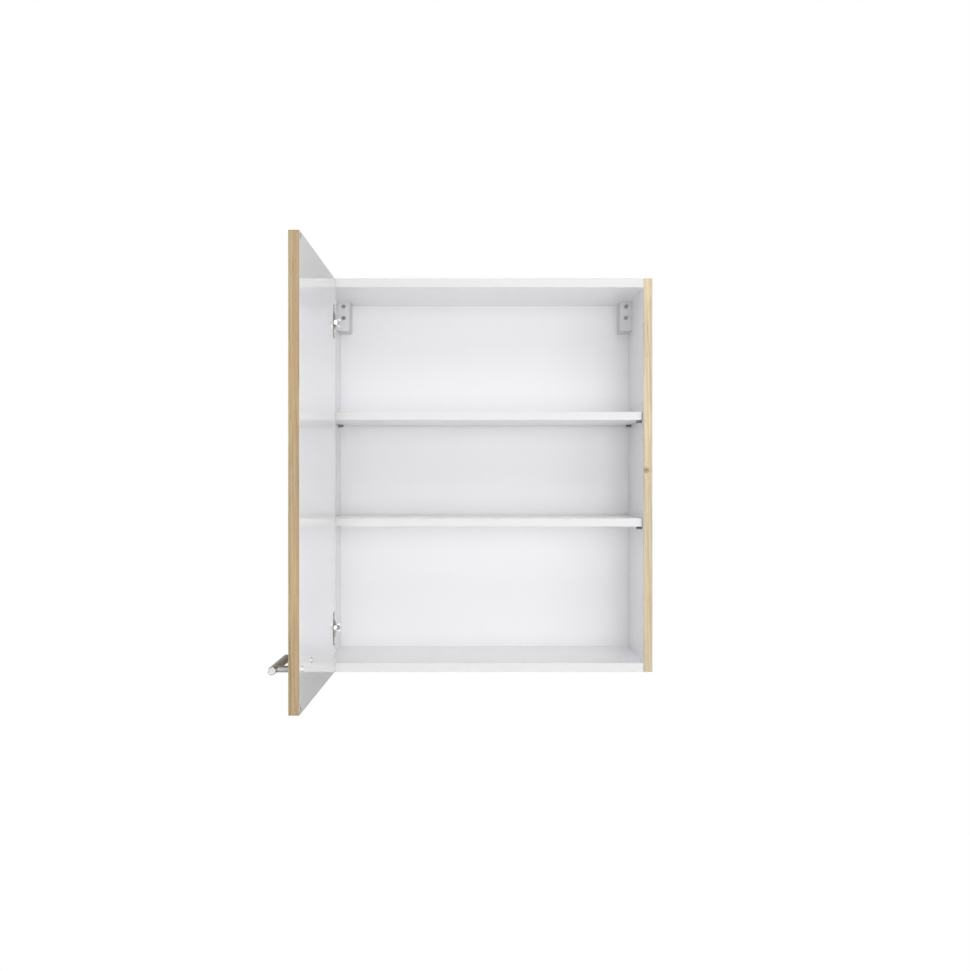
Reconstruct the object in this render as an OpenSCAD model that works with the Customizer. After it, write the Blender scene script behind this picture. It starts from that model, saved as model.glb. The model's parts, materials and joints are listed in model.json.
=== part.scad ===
/* [Carcass] */
// Width of the carcass
carcass_w = 600; // [450:1:900]
// Height of the carcass
carcass_h = 704; // [680:1:960]
// Depth of the carcass without the door
carcass_d = 333; // [320:1:380]
// Thickness of the side, top and bottom boards
board_t = 16; // [16:0.5:19]
// Thickness of the back panel
back_t = 3; // [2.5:0.1:4]
// Space between the wall and the back panel
back_recess = 11; // [10:0.5:14]
// Thickness of every edge band
band_t = 0.8; // [0.4:0.1:1]

/* [Door] */
// Thickness of the door board with its faces
door_t = 16; // [16:0.5:19]
// Gap between the door's rim and the carcass outline
door_reveal = 2; // [1:0.5:3]
// Thickness of the bumpers that meet the carcass
bumper_t = 1.7; // [1:0.1:1.8]

/* [Shelves] */
// Thickness of each shelf
shelf_t = 15; // [12:0.5:18]
// Depth of each shelf with its edge band
shelf_d = 295; // [260:1:297]
// Gap between a shelf's end and the side panel
shelf_end_gap = 1; // [1:0.5:2]
// Height of the lower shelf's underside above the carcass's underside
lower_shelf_z = 259.5; // [200:0.5:300]
// Height from one shelf's underside to the next
shelf_rise = 192; // [160:32:192]
// Diameter of the shelf pins
pin_d = 5; // [5:0.1:6]
// Length of a shelf pin that stands out of the side panel
pin_reach = 10; // [8:0.5:12]

/* [Handle] */
// Diameter of the handle's bar
bar_d = 12; // [10:0.5:14]
// Length of the handle's bar
bar_l = 188; // [168:1:220]
// Distance between the handle's screws
post_pitch = 128; // [96:32:160]
// Distance from the door's outer face to the bar's middle
bar_out = 25; // [20:0.5:35]
// Diameter of the handle's posts
post_d = 10; // [8:0.5:11]
// Distance from the door's free edge to the bar's end
bar_edge_gap = 10; // [5:1:40]
// Height of the handle above the door's lower edge
bar_z = 63; // [40:0.5:120]

/* [Hinges] */
// Distance from the carcass's top or underside to each hinge
hinge_end_gap = 80; // [78:1:120]
// Diameter of the hinge cup's bore
cup_d = 35; // [35:0.1:35.2]
// Distance from the door's hinge edge to the cup's middle
cup_u = 22.5; // [21.5:0.5:23.5]
// Height of the cup's flange
flange_h = 58.5; // [58:0.5:62]

/* [Hangers] */
// Width of a hanger's housing
hanger_w = 23; // [20:0.5:26]
// Height of a hanger's housing
hanger_h = 56; // [52:1:64]
// Depth of a hanger's housing
hanger_d = 77; // [60:1:80]
// Sideways distance between the left and right wall screws
wall_screw_x = 512; // [352:32:512]
// Upright distance between the two wall screws of a plate
wall_screw_z = 32; // [24:1:32]
// Diameter of the wall plates' screw holes
wall_hole_d = 5.5; // [4:0.5:6]

/* [Hidden] */
$fn = 64;

// Main planes. The wall is y = 0 and the middle of the wall screws is the origin.
front_y = -carcass_d;
top_z = 68;
bottom_z = top_z - carcass_h;
inner_x = carcass_w / 2 - board_t;
floor_z = bottom_z + board_t;
ceiling_z = top_z - board_t;
back_y = -back_recess - back_t;

// Back panel groove
groove_depth = 5.5;
groove_slack = 0.1;
back_grip = 5;

// Knock-down fittings of the carcass
dowel_d = 8;
dowel_l = 30;
dowel_in_side = 11;
dowel_y = [40, 290];
cam_y = [84, 246];
cam_d = 15;
cam_h = 12.2;
cam_pocket = 13;
cam_in = 34;
cam_bolt_d = 6;
cam_bolt_bore_d = 8;
hole_slack = 0.2;
cam_slot_d = 8;
cam_bolt_in_side = 11;
cam_cross_w = 1.8;
cam_cross_l = 7;

// Hangers and wall plates
hanger_x = inner_x - hanger_w / 2;
hanger_corner = 2;
screw_bore_d = 8.4;
height_screw_drop = 9;
depth_screw_drop = 31;
hanger_screw_d = 7.6;
hanger_screw_recess = 3;
hanger_screw_l = 25;
screw_bore_l = 27;
cross_w = 1.2;
cross_l = 4.6;
cross_deep = 1.6;
peg_d = 8;
peg_in_side = 10;
peg_in_housing = 4;
peg_y = [-76, -30];
peg_drop = 46;
plate_t = 2;
plate_w = 48;
plate_half_h = 24;
lip_out = 4.5;
lip_top = 40;
hook_w = 12;
hook_t = 3;
hook_l = 62;
hook_tongue = 9;
hook_wall_gap = 1.5;
hook_tongue_t = 2.5;
hook_slot_w = 14;
hook_slot_h = 10;
plate_corner = 5;

// Shelves and their pins
shelf_y = front_y + 20;
shelf_x = inner_x - shelf_end_gap;
pin_y = [front_y + 37, front_y + 261];
pin_hole_deep = 9;
pin_in_side = 8;
pin_collar_d = 7;
pin_collar_t = 0.8;
pin_row_pitch = 32;

// Door at rest, standing open at a right angle to the carcass front.
// In the door's own frame, u runs from the hinge edge, v is 0 on the inner face and w is height.
door_w = carcass_w - 2 * door_reveal;
door_h = carcass_h - 2 * door_reveal;
door_at = [-inner_x + 17, front_y - 4, bottom_z + door_reveal];
hinge_w = [hinge_end_gap - door_reveal, door_h - hinge_end_gap + door_reveal];
hinge_z = [bottom_z + hinge_end_gap, top_z - hinge_end_gap];

// Hinge cup
cup_outer_r = cup_d / 2;
cup_inner_r = 16.6;
cup_bore_deep = 12.5;
cup_deep = 12;
cup_floor_t = 0.8;
flange_t = 1.2;
flange_disc_r = 18.6;
wing_u = cup_u + 5.5;
wing_half_u = 6.5;
wing_corner = 5;
cup_screw_w = 26;
cup_screw_d = 3.2;
cup_screw_l = 13;
cup_screw_head_d = 6;
cup_screw_head_t = 1.9;
ear_z0 = 5;
ear_z1 = 6.6;
ear_u1 = 12.6;

// Linkage of each hinge, in the plane seen from above, measured from the carcass's front plane.
// The outer link turns on a_pivot and carries the door at c_pivot; the inner link turns on b_pivot.
a_pivot = [-inner_x + 14.8, 13.3];
b_pivot = [-inner_x + 20.2, 2.2];
c_pivot = [-inner_x + 13.1, -13.7];
d_pivot = [-inner_x + 11, -18.2];
outer_path = [a_pivot, [-269.2, 1.4], [-262.6, -4], [-261.2, -6.4], [-261.2, -10.6],
              [-264.4, -14.2], [-267.4, -15.2], c_pivot];
inner_path = [b_pivot, [-263.8, -1.2], [-260.2, -4.6], [-259.7, -6.6], [-259.7, -10.2],
              [-263.2, -13.8], [-268.8, -14.4], d_pivot];
link_w = 2.6;
bend_swell = 1.08;
link_eye_r = 2.4;
outer_link_z0 = 3;
outer_link_z1 = 4.5;
inner_link_z1 = 2.5;
pivot_r = 1.2;
pivot_slack = 0.05;
pin_head_r = 1.9;
pin_head_t = 0.4;

// Hinge arm and mounting plate: y from the front plane, h above the side panel's inner face
arm_z0 = 5;
arm_z1 = 6.3;
arm_wall_t = 1.5;
arm_outline = [[-0.4, 17.6], [-0.4, 24.5], [14, 24.5], [31, 13], [64, 13], [64, 4], [24, 4], [12, 11]];
arm_channel = [[-1, 10], [-1, 23], [13.5, 23], [30.5, 11.5], [65, 11.5], [65, 3], [-1, 3]];
plate_base_t = 2;
plate_base_y = [22, 66];
plate_base_z = 9;
plate_screw_y = 37;
plate_screw_z = 16;
plate_ear_r = 6;
boss_y = [28, 62];
boss_top = 9.6;
boss_z = 4.6;
plate_screw_d = 5;
plate_screw_head_d = 7.4;
plate_screw_head_t = 2;
plate_screw_in = 11;
fixing_screw_y = 54;
side_screw_y = 40;
arm_screw_d = 5;
arm_screw_head_d = 8;
arm_screw_head_t = 2;
spring_t = 0.7;
spring_z = 2.2;
spring_line = [[33, 10.7], [27, 11.2], [17.5, 17]];

// Handle and door bumpers
bar_u = door_w - bar_edge_gap - bar_l / 2;
post_u = [bar_u - post_pitch / 2, bar_u + post_pitch / 2];
handle_screw_d = 4;
handle_screw_bore_d = 4.4;
handle_screw_head_d = 8;
handle_screw_head_t = 2.4;
handle_screw_in_post = 9;
bar_chamfer = 0.6;
bumper_d = 8;
bumper_inset = 8;

oak = "#d3ba93";
white = "#f2f2ef";
steel = "#b7babd";
dark_steel = "#7c7f84";
grey_plastic = "#c9cacb";
beech = "#c79a63";
hardboard = "#e9e9e6";

// Places children at both hinges of the carcass, with z = 0 at the hinge's middle
module at_hinge(i) {
  translate([0, front_y, hinge_z[i]])
    children();
}

// Draws children in the door's frame: x is u, y is v and z is w
module in_door() {
  translate(door_at)
    rotate([0, 0, -90])
      children();
}

// Draws children in the hinge's side view: x is y from the front plane, y is h, z is across the arm
module side_view() {
  translate([-inner_x, 0, 0])
    multmatrix([[0, 1, 0, 0], [1, 0, 0, 0], [0, 0, -1, 0], [0, 0, 0, 1]])
      children();
}

// A rod along X from x0 to x1
module rod_x(x0, x1, y, z, d) {
  translate([min(x0, x1), y, z])
    rotate([0, 90, 0])
      cylinder(d = d, h = abs(x1 - x0));
}

// A rod along Y from y0 to y1
module rod_y(x, y0, y1, z, d) {
  translate([x, max(y0, y1), z])
    rotate([90, 0, 0])
      cylinder(d = d, h = abs(y1 - y0));
}

// A box given by its lowest and highest corners
module box(low, high) {
  translate(low)
    cube(high - low);
}

// A rectangle with round corners, centred
module round_rect(w, h, r) {
  union() {
    square([w - 2 * r, h], center = true);
    square([w, h - 2 * r], center = true);
    for (x = [-1, 1])
      for (y = [-1, 1])
        translate([x * (w / 2 - r), y * (h / 2 - r)])
          circle(r);
  }
}

// A cross recess for a screwdriver, cut downwards from z = 0
module cross_recess(w, l, deep) {
  translate([0, 0, -deep / 2 + 0.1])
    union() {
      cube([w, l, deep + 0.2], center = true);
      cube([l, w, deep + 0.2], center = true);
    }
}

// A flat bar that follows a path, with round bends a little wider than the straight runs
module path_bar(path, w) {
  for (p = path)
    translate(p)
      circle(d = w * bend_swell);
  for (i = [0 : len(path) - 2]) {
    step = path[i + 1] - path[i];
    translate(path[i])
      rotate(atan2(step[1], step[0]))
        translate([0, -w / 2])
          square([norm(step), w]);
  }
}

// Side panel on the side s, -1 on the left and 1 on the right
module side_panel(s) {
  difference() {
    box([min(s * inner_x, s * carcass_w / 2), front_y + band_t, bottom_z],
        [max(s * inner_x, s * carcass_w / 2), 0, top_z]);
    box([s > 0 ? inner_x - 1 : -inner_x - groove_depth, back_y - groove_slack, floor_z - groove_depth],
        [s > 0 ? inner_x + groove_depth : -inner_x + 1, -back_recess + groove_slack, ceiling_z + groove_depth]);
    for (z = [bottom_z + board_t / 2, top_z - board_t / 2]) {
      for (y = dowel_y)
        rod_x(s * (inner_x - 1), s * (inner_x + dowel_in_side + 0.5), front_y + y, z, dowel_d);
      for (y = cam_y)
        rod_x(s * (inner_x - 1), s * (inner_x + cam_bolt_in_side), front_y + y, z, cam_bolt_d + hole_slack);
    }
    for (z = shelf_pin_z)
      for (dz = [-pin_row_pitch, 0, pin_row_pitch])
        for (y = pin_y)
          rod_x(s * (inner_x - 1), s * (inner_x + pin_hole_deep), y, z + dz, pin_d);
    for (y = peg_y)
      rod_x(s * (inner_x - 1), s * (inner_x + peg_in_side), y, ceiling_z - peg_drop, peg_d);
    if (s < 0)
      for (i = [0, 1])
        for (z = [-plate_screw_z, plate_screw_z])
          rod_x(-inner_x + 1, -inner_x - plate_screw_in, front_y + plate_screw_y, hinge_z[i] + z, plate_screw_d);
  }
}

// Height of the pins' middles under the lower and the upper shelf
shelf_pin_z = [for (i = [0, 1]) bottom_z + lower_shelf_z + i * shelf_rise - pin_d / 2];

// Top panel, or bottom panel when turned over; out is 1 on top and -1 at the bottom
module cross_panel(low_z, out) {
  face_z = out > 0 ? low_z + board_t : low_z;
  mid_z = low_z + board_t / 2;
  difference() {
    box([-inner_x, front_y + band_t, low_z], [inner_x, 0, low_z + board_t]);
    box([-inner_x - 1, back_y - groove_slack, out > 0 ? low_z - 1 : low_z + board_t - groove_depth],
        [inner_x + 1, -back_recess + groove_slack, out > 0 ? low_z + groove_depth : low_z + board_t + 1]);
    for (s = [-1, 1]) {
      for (y = dowel_y)
        rod_x(s * (inner_x - dowel_l + dowel_in_side - 1), s * (inner_x + 1), front_y + y, mid_z, dowel_d);
      for (y = cam_y) {
        rod_x(s * (inner_x - cam_in), s * (inner_x + 1), front_y + y, mid_z, cam_bolt_bore_d);
        translate([s * (inner_x - cam_in), front_y + y, out > 0 ? face_z - cam_pocket : face_z - 1])
          cylinder(d = cam_d, h = cam_pocket + 1);
      }
    }
  }
}

module left_side_panel() {
  color(white)
    side_panel(-1);
}

module right_side_panel() {
  color(white)
    side_panel(1);
}

module top_panel() {
  color(white)
    cross_panel(ceiling_z, 1);
}

module bottom_panel() {
  color(white)
    cross_panel(bottom_z, -1);
}

module back_panel() {
  color(hardboard)
    difference() {
      box([-inner_x - back_grip, back_y, floor_z - back_grip],
          [inner_x + back_grip, -back_recess, ceiling_z + back_grip]);
      for (s = [-1, 1])
        translate([s * hanger_x, back_y + back_t / 2, lip_top + hook_t / 2])
          cube([hook_slot_w, back_t + 2, hook_slot_h], center = true);
    }
}

// Edge band on the front edge of a board
module front_band(x0, x1, y, z0, z1) {
  box([x0, y, z0], [x1, y + band_t, z1]);
}

module left_side_edge_band() {
  color(oak)
    front_band(-carcass_w / 2, -inner_x, front_y, bottom_z, top_z);
}

module right_side_edge_band() {
  color(oak)
    front_band(inner_x, carcass_w / 2, front_y, bottom_z, top_z);
}

module top_edge_band() {
  color(white)
    front_band(-inner_x, inner_x, front_y, ceiling_z, top_z);
}

module bottom_edge_band() {
  color(white)
    front_band(-inner_x, inner_x, front_y, bottom_z, floor_z);
}

// Repeats children at the corner joints: children get side $s, height $z and direction outwards $out
module at_corners() {
  for ($s = [-1, 1])
    for ($out = [-1, 1]) {
      $z = $out > 0 ? top_z - board_t / 2 : bottom_z + board_t / 2;
      children();
    }
}

module carcass_dowels() {
  color(beech)
    at_corners()
      for (y = dowel_y)
        rod_x($s * (inner_x - dowel_l + dowel_in_side), $s * (inner_x + dowel_in_side), front_y + y, $z, dowel_d);
}

module cam_bolts() {
  color(dark_steel)
    at_corners()
      for (y = cam_y)
        rod_x($s * (inner_x - cam_in), $s * (inner_x + cam_bolt_in_side), front_y + y, $z, cam_bolt_d);
}

module cam_locks() {
  color(steel)
    at_corners()
      for (y = cam_y)
        translate([$s * (inner_x - cam_in), front_y + y, $z + $out * board_t / 2])
          rotate([$out > 0 ? 0 : 180, 0, 0])
            difference() {
              translate([0, 0, -cam_pocket])
                cylinder(d = cam_d - 0.2, h = cam_h);
              translate([$s > 0 ? -cam_d / 4 : -cam_d, -cam_slot_d / 2, -board_t / 2 - cam_slot_d / 2])
                cube([cam_d * 1.25, cam_slot_d, cam_slot_d]);
              translate([0, 0, -cam_pocket + cam_h])
                cross_recess(cam_cross_w, cam_cross_l, cross_deep);
            }
}

module cam_covers() {
  color(white)
    at_corners()
      for (y = cam_y)
        translate([$s * (inner_x - cam_in), front_y + y, $z + $out * (board_t / 2 - (cam_pocket - cam_h) / 2)])
          cylinder(d = cam_d, h = cam_pocket - cam_h, center = true);
}

// Wall plate with a raised lip along its top
module wall_plate(s) {
  color(steel)
    difference() {
      translate([s * wall_screw_x / 2 - plate_w / 2, 0, 0])
        rotate([90, 0, 90])
          linear_extrude(plate_w)
            polygon([[0, -plate_half_h], [0, plate_half_h - 1], [-lip_out, plate_half_h + 3], [-lip_out, lip_top],
                     [-lip_out - plate_t, lip_top], [-lip_out - plate_t, plate_half_h + 2],
                     [-plate_t, plate_half_h - 2], [-plate_t, -plate_half_h]]);
      for (z = [-wall_screw_z / 2, wall_screw_z / 2])
        rod_y(s * wall_screw_x / 2, -plate_t - 1, 1, z, wall_hole_d);
    }
}

module left_wall_plate() {
  wall_plate(-1);
}

module right_wall_plate() {
  wall_plate(1);
}

// Plastic housing with two screw bores at the front and a slot for the hook
module hanger_housing(s) {
  low_z = ceiling_z - hanger_h;
  color(grey_plastic)
    difference() {
      translate([s * hanger_x, back_y, low_z + hanger_h / 2])
        rotate([90, 0, 0])
          linear_extrude(hanger_d)
            round_rect(hanger_w, hanger_h, hanger_corner);
      for (drop = [height_screw_drop, depth_screw_drop])
        rod_y(s * hanger_x, back_y - hanger_d - 1, back_y - hanger_d + screw_bore_l, ceiling_z - drop, screw_bore_d);
      translate([s * hanger_x, back_y, lip_top + hook_t / 2])
        cube([hook_w + 0.4, 2 * (hook_l + hook_wall_gap - back_recess - back_t) + 0.4, hook_t + 0.4], center = true);
      for (y = peg_y)
        rod_x(s * (inner_x + 1), s * (inner_x - peg_in_housing), y, ceiling_z - peg_drop, peg_d);
    }
}

module left_hanger_housing() {
  hanger_housing(-1);
}

module right_hanger_housing() {
  hanger_housing(1);
}

// Steel hook that comes out of the back and drops behind the wall plate's lip
module hanger_hook(s) {
  x = s * hanger_x;
  color(steel)
    union() {
      box([x - hook_w / 2, -hook_wall_gap - hook_l, lip_top], [x + hook_w / 2, -hook_wall_gap, lip_top + hook_t]);
      box([x - hook_w / 2, -hook_wall_gap - hook_tongue_t, lip_top - hook_tongue],
          [x + hook_w / 2, -hook_wall_gap, lip_top + hook_t / 2]);
    }
}

module left_hanger_hook() {
  hanger_hook(-1);
}

module right_hanger_hook() {
  hanger_hook(1);
}

// One adjusting screw in each housing, drop below the ceiling
module hanger_screws(drop) {
  color(dark_steel)
    for (s = [-1, 1])
      difference() {
        rod_y(s * hanger_x, back_y - hanger_d + hanger_screw_recess, back_y - hanger_d + hanger_screw_l,
              ceiling_z - drop, hanger_screw_d);
        translate([s * hanger_x, back_y - hanger_d + hanger_screw_recess, ceiling_z - drop])
          rotate([90, 0, 0])
            cross_recess(cross_w, cross_l, cross_deep);
      }
}

module hanger_height_screws() {
  hanger_screws(height_screw_drop);
}

module hanger_depth_screws() {
  hanger_screws(depth_screw_drop);
}

module hanger_pegs() {
  color(white)
    for (s = [-1, 1])
      for (y = peg_y)
        rod_x(s * (inner_x - peg_in_housing), s * (inner_x + peg_in_side), y, ceiling_z - peg_drop, peg_d);
}

// Four pins under a shelf, each with a thin collar against the side panel
module shelf_pins(z) {
  color(dark_steel)
    for (s = [-1, 1])
      for (y = pin_y)
        union() {
          rod_x(s * (inner_x - pin_reach), s * (inner_x + pin_in_side), y, z, pin_d);
          rod_x(s * (inner_x - pin_collar_t), s * inner_x, y, z, pin_collar_d);
        }
}

module lower_shelf_pins() {
  shelf_pins(shelf_pin_z[0]);
}

module upper_shelf_pins() {
  shelf_pins(shelf_pin_z[1]);
}

// Shelf board behind its band, resting on its pins
module shelf_board(pin_z) {
  z = pin_z + pin_d / 2;
  color(white)
    box([-shelf_x, shelf_y + band_t, z], [shelf_x, shelf_y + shelf_d, z + shelf_t]);
}

module shelf_band(pin_z) {
  z = pin_z + pin_d / 2;
  color(white)
    front_band(-shelf_x, shelf_x, shelf_y, z, z + shelf_t);
}

module lower_shelf() {
  shelf_board(shelf_pin_z[0]);
}

module lower_shelf_edge_band() {
  shelf_band(shelf_pin_z[0]);
}

module upper_shelf() {
  shelf_board(shelf_pin_z[1]);
}

module upper_shelf_edge_band() {
  shelf_band(shelf_pin_z[1]);
}

// Mounting plate on the side panel: a base with an ear at each screw and a boss inside the arm
module hinge_plate(i) {
  color(steel)
    at_hinge(i)
      side_view()
        difference() {
          union() {
            translate([plate_base_y[0], 0, -plate_base_z])
              cube([plate_base_y[1] - plate_base_y[0], plate_base_t, 2 * plate_base_z]);
            for (z = [-plate_screw_z, plate_screw_z]) {
              translate([plate_screw_y, 0, z])
                rotate([-90, 0, 0])
                  cylinder(r = plate_ear_r, h = plate_base_t);
              translate([plate_screw_y - plate_ear_r, 0, min(z, 0)])
                cube([2 * plate_ear_r, plate_base_t, abs(z)]);
            }
            translate([boss_y[0], 0, -boss_z])
              cube([boss_y[1] - boss_y[0], boss_top, 2 * boss_z]);
          }
          for (z = [-plate_screw_z, plate_screw_z])
            translate([plate_screw_y, -1, z])
              rotate([-90, 0, 0])
                cylinder(d = plate_screw_d + hole_slack, h = plate_base_t + 2);
          for (y = [side_screw_y, fixing_screw_y])
            translate([y, plate_base_t + 1, 0])
              rotate([-90, 0, 0])
                cylinder(d = arm_screw_d, h = boss_top);
        }
}

module upper_hinge_plate() {
  hinge_plate(1);
}

module lower_hinge_plate() {
  hinge_plate(0);
}

module hinge_plate_screws() {
  color(dark_steel)
    for (i = [0, 1])
      at_hinge(i)
        side_view()
          for (z = [-plate_screw_z, plate_screw_z])
            translate([plate_screw_y, 0, z])
              rotate([-90, 0, 0])
                difference() {
                  union() {
                    translate([0, 0, -plate_screw_in + 0.5])
                      cylinder(d = plate_screw_d, h = plate_screw_in + plate_base_t);
                    translate([0, 0, plate_base_t])
                      cylinder(d = plate_screw_head_d, h = plate_screw_head_t);
                  }
                  translate([0, 0, plate_base_t + plate_screw_head_t])
                    cross_recess(cross_w, cross_l, cross_deep);
                }
}

// Arm: a channel that is open towards the side panel, with two screw holes in its back
module hinge_arm(i) {
  color(steel)
    at_hinge(i)
      side_view()
        difference() {
          translate([0, 0, -arm_z1])
            linear_extrude(2 * arm_z1)
              polygon(arm_outline);
          translate([0, 0, -arm_z0])
            linear_extrude(2 * arm_z0)
              polygon(arm_channel);
          for (y = [side_screw_y, fixing_screw_y])
            translate([y, 0, 0])
              rotate([-90, 0, 0])
                cylinder(d = arm_screw_d + 0.4, h = 20);
          for (p = [a_pivot, b_pivot])
            translate([p[1], p[0] + inner_x, -arm_z1 - 1])
              cylinder(r = pivot_r, h = 2 * arm_z1 + 2);
        }
}

module upper_hinge_arm() {
  hinge_arm(1);
}

module lower_hinge_arm() {
  hinge_arm(0);
}

// Screws through the arm into the mounting plate's boss
module arm_screws(y) {
  color(dark_steel)
    for (i = [0, 1])
      at_hinge(i)
        side_view()
          translate([y, 0, 0])
            rotate([-90, 0, 0])
              difference() {
                union() {
                  translate([0, 0, plate_base_t + 1])
                    cylinder(d = arm_screw_d, h = 10);
                  translate([0, 0, 13])
                    cylinder(d = arm_screw_head_d, h = arm_screw_head_t);
                }
                translate([0, 0, 13 + arm_screw_head_t])
                  cross_recess(cross_w, cross_l, cross_deep);
              }
}

module hinge_fixing_screws() {
  arm_screws(fixing_screw_y);
}

module hinge_side_screws() {
  arm_screws(side_screw_y);
}

module hinge_leaf_springs() {
  color(dark_steel)
    for (i = [0, 1])
      at_hinge(i)
        side_view()
          translate([0, 0, -spring_z])
            linear_extrude(2 * spring_z)
              path_bar(spring_line, spring_t);
}

// Riveted pins in the arm: two short ones for the outer link, a long one for the inner link
module hinge_arm_pins() {
  pin_end = arm_z1 + pin_head_t;
  color(dark_steel)
    for (i = [0, 1])
      at_hinge(i) {
        for (side = [-1, 1])
          translate([a_pivot[0], a_pivot[1], side > 0 ? outer_link_z0 : -pin_end])
            cylinder(r = pivot_r, h = pin_end - outer_link_z0);
        translate([b_pivot[0], b_pivot[1], -pin_end])
          cylinder(r = pivot_r, h = 2 * pin_end);
        for (p = [a_pivot, b_pivot])
          for (side = [-1, 1])
            translate([p[0], p[1], side > 0 ? arm_z1 : -pin_end])
              cylinder(r = pin_head_r, h = pin_head_t);
      }
}

// Outer link: two curved cheeks joined by a sleeve between its eyes on the arm
module outer_link(i) {
  color(steel)
    at_hinge(i)
      difference() {
        union() {
          for (side = [-1, 1])
            translate([0, 0, side > 0 ? outer_link_z0 : -outer_link_z1])
              linear_extrude(outer_link_z1 - outer_link_z0)
                union() {
                  path_bar(outer_path, link_w);
                  for (p = [a_pivot, c_pivot])
                    translate(p)
                      circle(link_eye_r);
                }
          translate([a_pivot[0], a_pivot[1], -outer_link_z0])
            cylinder(r = link_eye_r, h = 2 * outer_link_z0);
        }
        for (p = [a_pivot, c_pivot])
          translate([p[0], p[1], -outer_link_z1 - 1])
            cylinder(r = pivot_r + pivot_slack, h = 2 * outer_link_z1 + 2);
      }
}

module upper_outer_link() {
  outer_link(1);
}

module lower_outer_link() {
  outer_link(0);
}

// Inner link: one thick curved bar between the outer link's cheeks
module inner_link(i) {
  color(steel)
    at_hinge(i)
      translate([0, 0, -inner_link_z1])
        linear_extrude(2 * inner_link_z1)
          difference() {
            union() {
              path_bar(inner_path, link_w);
              for (p = [b_pivot, d_pivot])
                translate(p)
                  circle(link_eye_r);
            }
            translate(b_pivot)
              circle(pivot_r + pivot_slack);
            translate(d_pivot)
              circle(pivot_r);
          }
}

module upper_inner_link() {
  inner_link(1);
}

module lower_inner_link() {
  inner_link(0);
}

module inner_link_pins() {
  color(dark_steel)
    for (i = [0, 1])
      at_hinge(i)
        translate([d_pivot[0], d_pivot[1], -inner_link_z1 - pin_head_t])
          cylinder(r = pivot_r, h = 2 * (inner_link_z1 + pin_head_t));
}

// Hinge cup in the door: a thin pot with a flange, wings for its screws and two ears for the link's pins
module hinge_cup(i) {
  c_u = door_at[1] - front_y - c_pivot[1];
  c_v = c_pivot[0] - door_at[0];
  color(steel)
    in_door()
      translate([0, 0, hinge_w[i]])
        difference() {
          union() {
            difference() {
              union() {
                translate([cup_u, 0, 0])
                  rotate([90, 0, 0])
                    cylinder(r = cup_outer_r, h = cup_deep);
                translate([0, flange_t, 0])
                  rotate([90, 0, 0])
                    linear_extrude(flange_t)
                      union() {
                        translate([cup_u, 0])
                          circle(flange_disc_r);
                        translate([wing_u, 0])
                          round_rect(2 * wing_half_u, flange_h, wing_corner);
                      }
              }
              translate([cup_u, flange_t + 1, 0])
                rotate([90, 0, 0])
                  cylinder(r = cup_inner_r, h = cup_deep - cup_floor_t + flange_t + 1);
            }
            for (side = [-1, 1])
              intersection() {
                box([0, -cup_deep + cup_floor_t / 2, side > 0 ? ear_z0 : -ear_z1],
                    [ear_u1, c_v + link_eye_r, side > 0 ? ear_z1 : -ear_z0]);
                translate([cup_u, 0, 0])
                  rotate([90, 0, 0])
                    cylinder(r = cup_outer_r - cup_floor_t / 2, h = cup_deep);
              }
          }
          translate([c_u, c_v, -ear_z1 - 1])
            cylinder(r = pivot_r, h = 2 * ear_z1 + 2);
          for (w = [-cup_screw_w, cup_screw_w])
            translate([wing_u, flange_t + 1, w])
              rotate([90, 0, 0])
                cylinder(d = cup_screw_d, h = flange_t + 2);
        }
}

module upper_hinge_cup() {
  hinge_cup(1);
}

module lower_hinge_cup() {
  hinge_cup(0);
}

// Two short pins in each cup's ears, which carry the outer link
module hinge_cup_pins() {
  color(dark_steel)
    for (i = [0, 1])
      at_hinge(i)
        for (side = [-1, 1])
          translate([c_pivot[0], c_pivot[1], side > 0 ? outer_link_z0 : -ear_z1])
            cylinder(r = pivot_r, h = ear_z1 - outer_link_z0);
}

module hinge_cup_screws() {
  color(dark_steel)
    in_door()
      for (w = hinge_w)
        for (dw = [-cup_screw_w, cup_screw_w])
          translate([wing_u, flange_t, w + dw])
            rotate([90, 0, 0])
              difference() {
                union() {
                  cylinder(d = cup_screw_d, h = cup_screw_l);
                  translate([0, 0, -cup_screw_head_t / 2])
                    cylinder(d = cup_screw_head_d, h = cup_screw_head_t / 2);
                }
                translate([0, 0, -cup_screw_head_t / 2])
                  rotate([180, 0, 0])
                    cross_recess(cross_w, cross_l, cross_deep);
              }
}

module door_board() {
  color(white)
    in_door()
      difference() {
        box([band_t, -door_t, band_t], [door_w - band_t, 0, door_h - band_t]);
        for (w = hinge_w) {
          translate([cup_u, 1, w])
            rotate([90, 0, 0])
              cylinder(r = cup_outer_r, h = cup_bore_deep + 1);
          for (dw = [-cup_screw_w, cup_screw_w])
            translate([wing_u, 1, w + dw])
              rotate([90, 0, 0])
                cylinder(d = cup_screw_d, h = cup_screw_l + 1);
        }
        for (u = post_u)
          translate([u, 1, bar_z])
            rotate([90, 0, 0])
              cylinder(d = handle_screw_bore_d, h = door_t + 2);
      }
}

module door_hinge_edge_band() {
  color(oak)
    in_door()
      box([0, -door_t, band_t], [band_t, 0, door_h - band_t]);
}

module door_free_edge_band() {
  color(oak)
    in_door()
      box([door_w - band_t, -door_t, band_t], [door_w, 0, door_h - band_t]);
}

module door_top_edge_band() {
  color(oak)
    in_door()
      box([0, -door_t, door_h - band_t], [door_w, 0, door_h]);
}

module door_bottom_edge_band() {
  color(oak)
    in_door()
      box([0, -door_t, 0], [door_w, 0, band_t]);
}

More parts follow.
